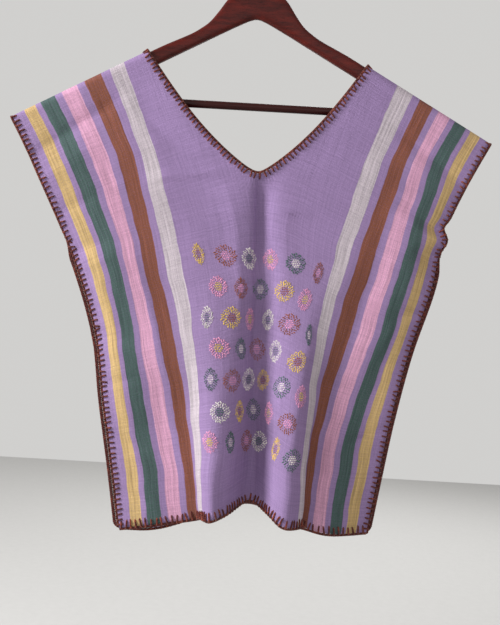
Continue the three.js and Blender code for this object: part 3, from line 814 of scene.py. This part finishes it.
def even_stations(points, out, normal, spacing, closed):
    """The same edge with stations at an even spacing: each row interpolated by length along the edge"""
    rows = np.concatenate([points, out, normal], -1)
    if closed:
        rows = np.concatenate([rows, rows[:1]])
    length = np.concatenate([[0], np.cumsum(np.linalg.norm(np.diff(rows[:, :3], axis=0), axis=-1))])
    count = max(4, round(length[-1] / spacing))
    at = np.linspace(0, length[-1], count, endpoint=not closed)
    even = np.stack([np.interp(at, length, rows[:, k]) for k in range(9)], -1)
    return even[:, :3], unit(even[:, 3:6]), unit(even[:, 6:]), at


def edge_of_cloth(side, line, drop, inside_line, inside_drop):
    """Points of an edge, the directions out of the cloth there, and the cloth's outward normals"""
    points = cloth_points(side, line, drop)
    out = unit(points - cloth_points(side, inside_line, inside_drop))
    return points, out, cloth_normals(side, line, drop)


def braid(points, out, normal, at, centre, width, depth, strand, pitch, closed):
    """Three strands that cross as in a plait: across the edge each follows a sine of the length along it,
    and through the cloth a sine of twice that, a third of a turn apart. An open braid narrows at its start
    and rounds off at its end."""
    turns = max(1, round(at[-1] / pitch))
    phase = 2 * np.pi * turns * at / (at[-1] + (at[1] if closed else 0))
    from_end = np.clip(1 - (at[-1] - at) / 9, 0, 1)
    taper = 1 if closed else (0.4 + 0.6 * smoothstep(0, 26, at)) * np.sqrt(np.maximum(0.02, 1 - from_end ** 2))
    strands = []
    for k in range(3):
        shift = phase + 2 * np.pi * k / 3
        offset = taper * (centre + width * np.sin(shift))
        strands.append(points + out * offset[:, None] + normal * (depth * np.sin(2 * shift))[:, None])
    return tubes(np.stack(strands), np.stack([normal] * 3), strand, 6, closed)


def legs(points, out, normal, at, pitch, length, wall, strand, chance):
    """Legs of blanket stitches: from over the braid, a half loop that lies on the cloth's face and dives
    into it, turned and lengthened a little by chance"""
    count = max(2, round(at[-1] / pitch))
    where = np.linspace(0, len(points) - 1, count, endpoint=False).round().astype(int)
    where = where + int(0.5 * len(points) / count)
    base, outward, up = points[where][:, None], out[where][:, None], normal[where][:, None]
    beside = np.cross(outward, up)
    t = np.linspace(0, 1, 8)[None, :, None]
    lean = chance.normal(0, 0.13, (count, 1, 1))
    reach = length * chance.uniform(0.82, 1.14, (count, 1, 1))
    inward = lerp(-2.6, reach, t)
    height = wall / 2 + strand * (0.75 + 0.9 * (1 - t) ** 2) - (wall / 2 + strand) * smoothstep(0.82, 1.0, t)
    path = base - outward * inward + beside * inward * lean + up * height
    path[:, 0] -= up[:, 0] * strand
    radius = strand * np.array([0.55, 1, 1, 1, 1, 1, 0.95, 0.5])
    return tubes(path, np.broadcast_to(up, path.shape), radius, 6)


def reversed_side(parts):
    """A part's stations with their normals turned to the other face of the cloth"""
    points, out, normal, at = parts
    return points, out, -normal, at


def neck_edge():
    lines = np.concatenate([-neck_lines(90)[:0:-1], neck_lines(90)])
    tops = top_of(lines)[1]
    aside = EDGE_STEP * np.sin(np.pi / 2 * np.abs(lines) / NECK_HALF)
    inner = lines + np.sign(lines) * aside
    below = np.maximum(tops + EDGE_STEP - aside, top_of(inner)[1])
    front = edge_of_cloth(-1, lines, tops, inner, below)
    back = [values[-2:0:-1] for values in edge_of_cloth(1, lines, tops, inner, below)]
    return [np.concatenate(pair) for pair in zip(front, back)]


def side_edge(side, sign, start, end, count):
    drops = np.linspace(start, end, count)
    return edge_of_cloth(side, sign * HALF_WIDTH, drops, sign * (HALF_WIDTH - EDGE_STEP), drops)


def squared(points, out, closed):
    """Directions out of the cloth, made square to the edge"""
    ahead, behind = np.roll(points, -1, 0), np.roll(points, 1, 0)
    if not closed:
        ahead[-1], behind[0] = points[-1], points[0]
    along = unit(ahead - behind)
    return unit(out - along * np.sum(out * along, -1, keepdims=True))


def underarm_of(sign):
    return UNDERARM["left" if sign < 0 else "right"]


def armhole_edge(sign):
    underarm = underarm_of(sign)
    tip = float(top_of(HALF_WIDTH)[1])
    front = side_edge(-1, sign, tip + 0.5, underarm, 120)
    back = side_edge(1, sign, underarm, tip + 0.5, 120)
    return [np.concatenate(pair) for pair in zip(front, back)]


def join_edge(sign):
    underarm = underarm_of(sign)
    end = float(hem_drop(-1, sign * HALF_WIDTH)) - 0.3
    front = side_edge(-1, sign, underarm - 2, end, 160)
    back = side_edge(1, sign, underarm - 2, end, 160)
    return (front[0] + back[0]) / 2, unit(front[1] + back[1]), front, back


def hem_edge():
    lines = np.linspace(-HALF_WIDTH, HALF_WIDTH, 300)
    front_hem, back_hem = hem_drop(-1, lines), hem_drop(1, lines)
    front = edge_of_cloth(-1, lines, front_hem, lines, front_hem - EDGE_STEP)
    lines, back_hem = lines[::-1], back_hem[::-1]
    back = edge_of_cloth(1, lines, back_hem, lines, back_hem - EDGE_STEP)
    return [np.concatenate(pair) for pair in zip(front, back)]


class BLOUSE_OT_edgings(bpy.types.Operator):
    """Braids a cord round the neck, armholes and hem, with blanket stitches over the cloth's edge"""

    bl_idname = "blouse.edgings"
    bl_label = "Edgings"

    def execute(self, context):
        yarn, wall = context.scene.blouse_yarn, context.scene.blouse_cloth.wall / MM
        material = yarn_material("edging_yarn", tuple(yarn.wine), tuple(yarn.rust), 0.42)
        strand = yarn.strand / MM
        neck, hem, side = yarn.neck_leg / MM, yarn.hem_leg / MM, yarn.side_pitch / MM
        edges = [
            ("neck_braid", "neck_edging", neck_edge(), yarn.neck_pitch / MM, neck, 3),
            ("hem_braid", "hem_edging", hem_edge(), side, hem, 5),
            ("armhole_braid_left", "armhole_edging_left", armhole_edge(-1), side, neck, 7),
            ("armhole_braid_right", "armhole_edging_right", armhole_edge(1), side, neck, 9),
        ]
        for name, node, (points, out, normal), pitch, leg, seed in edges:
            stations = even_stations(points, squared(points, out, True), normal, STATION, True)
            chance = np.random.default_rng(seed)
            parts = [
                braid(*stations, CORD["centre"], CORD["width"], CORD["depth"], strand * CORD["strand"],
                      CORD["pitch"], True),
                legs(*stations, pitch, leg, wall, yarn.stitch / MM, chance),
                legs(*reversed_side(stations), pitch, leg * BACK_LEG, wall, yarn.stitch / MM, chance),
            ]
            points, faces, uv = joined(parts)
            piece = add_piece(name, points, faces, material, uv)
            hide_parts(node)
        return {"FINISHED"}


class BLOUSE_OT_side_joins(bpy.types.Operator):
    """Braids the bands that join front and back below the armholes, stitched to both"""

    bl_idname = "blouse.side_joins"
    bl_label = "Side joins"

    def execute(self, context):
        yarn, wall = context.scene.blouse_yarn, context.scene.blouse_cloth.wall / MM
        material = yarn_material("join_yarn", tuple(yarn.wine), tuple(yarn.rust), 0.36)
        strand, pitch = yarn.strand / MM, yarn.side_pitch / MM
        for name, node, sign, half, seed in (("side_band_left", "side_join_left", -1, 4.0, 13),
                                             ("side_band_right", "side_join_right", 1, 3.0, 17)):
            points, out, front, back = join_edge(sign)
            through = np.broadcast_to([0.0, -1.0, 0.0], points.shape)
            stations = even_stations(points, squared(points, out, False), through, STATION, False)
            chance = np.random.default_rng(seed)
            parts = [braid(*stations, half * centre, half * BAND["width"], BAND["depth"], strand, twist, False)
                     for centre, twist in zip(BAND["centres"], BAND["pitches"])]
            for face in (front, back):
                edge = even_stations(face[0], squared(face[0], face[1], False), face[2], STATION, False)
                parts.append(legs(*edge, pitch, yarn.neck_leg / MM, wall, yarn.stitch / MM, chance))
            points, faces, uv = joined(parts)
            piece = add_piece(name, points, faces, material, uv)
            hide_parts(node)
        return {"FINISHED"}


def arm_surface():
    """Points of the hanger's body: at each x the section is a rounded rectangle between the upper and the
    lower edge, a superellipse of power 3 that shrinks to nothing on a circle at the ends"""
    end, round_end = HANGER["end"], HANGER["end_round"]
    inner = end - round_end
    spans = ((0, 11, 8), (11, 90, 48), (90, inner, 24))
    half = np.concatenate([*[np.linspace(start, stop, count)[:-1] for start, stop, count in spans],
                           inner + round_end * np.sin(np.linspace(0, np.pi / 2, 12))])
    x = np.concatenate([-half[:0:-1], half])
    away = np.abs(x)
    cos = math.cos(SLOPE)
    straight = -fold_drop(away) - HANGER["seat"] / cos
    yoke = smooth_curve(HANGER_TOP["x"], HANGER_TOP["height"], away)
    top = np.where(away < HANGER_TOP["x"][-1], yoke, straight)
    crown = np.clip(away / HANGER_TOP["x"][0], 0, 1)
    top = top - 2.0 * crown ** 4 * (away <= HANGER_TOP["x"][0])
    under = -fold_drop(np.hypot(away, HANGER["arch"] * 0.55)) - (HANGER["seat"] + HANGER["depth"]) / cos
    shrink = np.sqrt(np.clip(1 - (np.maximum(away - inner, 0) / round_end) ** 2, 0.0004, 1))
    angle = np.linspace(0, 2 * np.pi, 41)[:-1]
    cosine, sine = np.cos(angle), np.sin(angle)
    wide = np.sign(cosine) * np.abs(cosine) ** (2 / 3)
    high = np.sign(sine) * np.abs(sine) ** (2 / 3)
    middle, tall = (top + under) / 2, (top - under) / 2 * (0.35 + 0.65 * shrink) * np.minimum(1, shrink * 3)
    y = np.outer(shrink, wide) * HANGER["thickness"] / 2
    z = middle[:, None] + np.outer(tall, high) + NECK_LEVEL
    return np.stack([np.broadcast_to(x[:, None], y.shape), y, z], -1)


def hook_path():
    """The wire's middle line: a round bend over the origin, then a cubic that turns down into the crown"""
    radius = HOOK["inner"] + HOOK["wire"]
    angle = np.radians(np.linspace(HOOK["tip_angle"], HOOK["neck_angle"], 60))
    bend = np.stack([radius * np.cos(angle), 0 * angle, radius * np.sin(angle) - HOOK["inner"]], -1)
    foot = np.array([0, 0, NECK_LEVEL + HOOK["crown"]])
    pull = np.array([np.sin(angle[-1]), 0, -np.cos(angle[-1])]) * HOOK["lead"]
    t = np.linspace(0, 1, 26)[1:, None]
    start, lead = bend[-1], foot + [0, 0, HOOK["lead"]]
    curve = start * (1 - t) ** 3 + 3 * (start + pull) * t * (1 - t) ** 2
    curve = curve + 3 * lead * t * t * (1 - t) + foot * t ** 3
    return np.concatenate([bend, curve])


class BLOUSE_OT_hanger(bpy.types.Operator):
    """Shapes the hanger's body, its trouser bar and its wire hook"""

    bl_idname = "blouse.hanger"
    bl_label = "Hanger"

    def execute(self, context):
        values = context.scene.blouse_hanger
        dark, light = tuple(values.dark), tuple(values.light)
        rings = arm_surface()
        index = np.arange(rings[..., 0].size).reshape(rings.shape[:-1])
        faces = grid_faces(np.concatenate([index, index[:, :1]], -1))[:, ::-1].tolist()
        faces += [index[0].tolist(), index[-1, ::-1].tolist()]
        body = add_piece("hanger_arms", rings, faces, wood_material("stained_wood", dark, light, (30, 260, 190)))
        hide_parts("hanger_body")
        low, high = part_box("trouser_bar")
        x = np.linspace(low.x / MM, high.x / MM, 60)
        path = np.stack([x, 0 * x, 0 * x + NECK_LEVEL + BAR["height"]], -1)[None]
        radius = BAR["radius"] * np.sqrt(np.clip(1 - (np.abs(x) / (x[-1] + 0.2)) ** 80, 0.2, 1))
        points, faces, uv = tubes(path, np.broadcast_to([0.0, 0.0, 1.0], path.shape), radius[None], 28)
        bar = add_piece("round_bar", points, faces, wood_material("stained_bar", dark, dark, (18, 300, 300)),
                        uv)
        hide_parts("trouser_bar")
        path = hook_path()[None]
        points, faces, uv = tubes(path, np.broadcast_to([0.0, 1.0, 0.0], path.shape), HOOK["wire"], 16)
        hook = add_piece("wire_hook", points, faces, steel_material(), uv)
        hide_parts("hook")
        return {"FINISHED"}


class BLOUSE_OT_stage(bpy.types.Operator):
    """Sets the pale floor, the soft light and the camera"""

    bl_idname = "blouse.stage"
    bl_label = "Stage"

    def execute(self, context):
        values = context.scene.blouse_stage
        pale = (*values.pale, 1)
        edge = np.linspace(-3000, 3000, 13)
        x, y = np.meshgrid(edge, edge, indexing="ij")
        points = np.stack([x, y, 0 * x - values.ground / MM], -1)
        make = Finish("pale_floor")
        grain = make.noise(make.place(), 60.0, 3.0)
        colour = make.tint(tuple(values.pale), 0.6 + grain * 0.06)
        material = make.finish(colour, 0.85 + grain * 0.1, grain, 0.1, 0.001)
        index = np.arange(x.size).reshape(x.shape)
        mesh = bpy.data.meshes.new("floor")
        mesh.from_pydata((points.reshape(-1, 3) * MM).tolist(), [], grid_faces(index)[:, ::-1].tolist())
        mesh.materials.append(material)
        floor = bpy.data.objects.new("floor", mesh)
        context.scene.collection.objects.link(floor)

        world = bpy.data.worlds.new("soft_room")
        world.use_nodes = True
        background = world.node_tree.nodes["Background"]
        background.inputs["Color"].default_value = pale
        background.inputs["Strength"].default_value = values.fill
        context.scene.world = world
        context.scene.view_settings.view_transform = "Standard"

        for name, place, target, size, share in LIGHTS:
            lamp = bpy.data.lights.new(name, "AREA")
            lamp.size = size
            lamp.energy = values.key * share
            light = bpy.data.objects.new(name, lamp)
            light.location = place
            light.rotation_euler = (Vector(target) - Vector(place)).to_track_quat("-Z", "Y").to_euler()
            context.scene.collection.objects.link(light)

        lens = bpy.data.cameras.new("camera")
        lens.lens = CAMERA["lens"]
        lens.sensor_width = CAMERA["sensor"]
        camera = bpy.data.objects.new("camera", lens)
        turn = Matrix.Rotation(math.radians(CAMERA["roll"]), 4, "Y") @ Matrix.Rotation(math.radians(90), 4, "X")
        camera.matrix_world = Matrix.Translation(CAMERA["place"]) @ turn
        context.scene.collection.objects.link(camera)
        context.scene.camera = camera
        return {"FINISHED"}


class BLOUSE_OT_declare(bpy.types.Operator):
    bl_idname = "blouse.declare"
    bl_label = "Declare the cloth"

    def execute(self, context):
        return {"FINISHED"}


class BLOUSE_PT_panel(bpy.types.Panel):
    """Lists the blouse's operators and values"""

    bl_idname = "BLOUSE_PT_panel"
    bl_label = "Woven blouse"
    bl_space_type = "VIEW_3D"
    bl_region_type = "UI"
    bl_category = "Blouse"

    def draw(self, context):
        for operator in OPERATORS:
            self.layout.operator(operator.bl_idname)
        for name in VALUES:
            group = getattr(context.scene, name)
            box = self.layout.box()
            for key in group.bl_rna.properties.keys():
                if key not in ("name", "rna_type"):
                    box.prop(group, key)


VALUES = {
    "blouse_cloth": BlouseClothValues,
    "blouse_yarn": BlouseYarnValues,
    "blouse_flowers": BlouseFlowerValues,
    "blouse_hanger": BlouseHangerValues,
    "blouse_stage": BlouseStageValues,
}
OPERATORS = [BLOUSE_OT_stage, BLOUSE_OT_cloth, BLOUSE_OT_flowers, BLOUSE_OT_edgings, BLOUSE_OT_side_joins,
             BLOUSE_OT_hanger, BLOUSE_OT_declare]
CLASSES = [*VALUES.values(), *OPERATORS, BLOUSE_PT_panel]


def register():
    for cls in CLASSES:
        bpy.utils.register_class(cls)
    for name, group in VALUES.items():
        setattr(bpy.types.Scene, name, PointerProperty(type=group))


def unregister():
    for name in VALUES:
        delattr(bpy.types.Scene, name)
    for cls in reversed(CLASSES):
        bpy.utils.unregister_class(cls)


def main():
    register()
    bpy.ops.blouse.stage()
    bpy.ops.blouse.cloth()
    bpy.ops.blouse.flowers()
    bpy.ops.blouse.edgings()
    bpy.ops.blouse.side_joins()
    bpy.ops.blouse.hanger()
    bpy.ops.blouse.declare()
    bpy.context.view_layer.update()


if __name__ == "__main__":
    main()
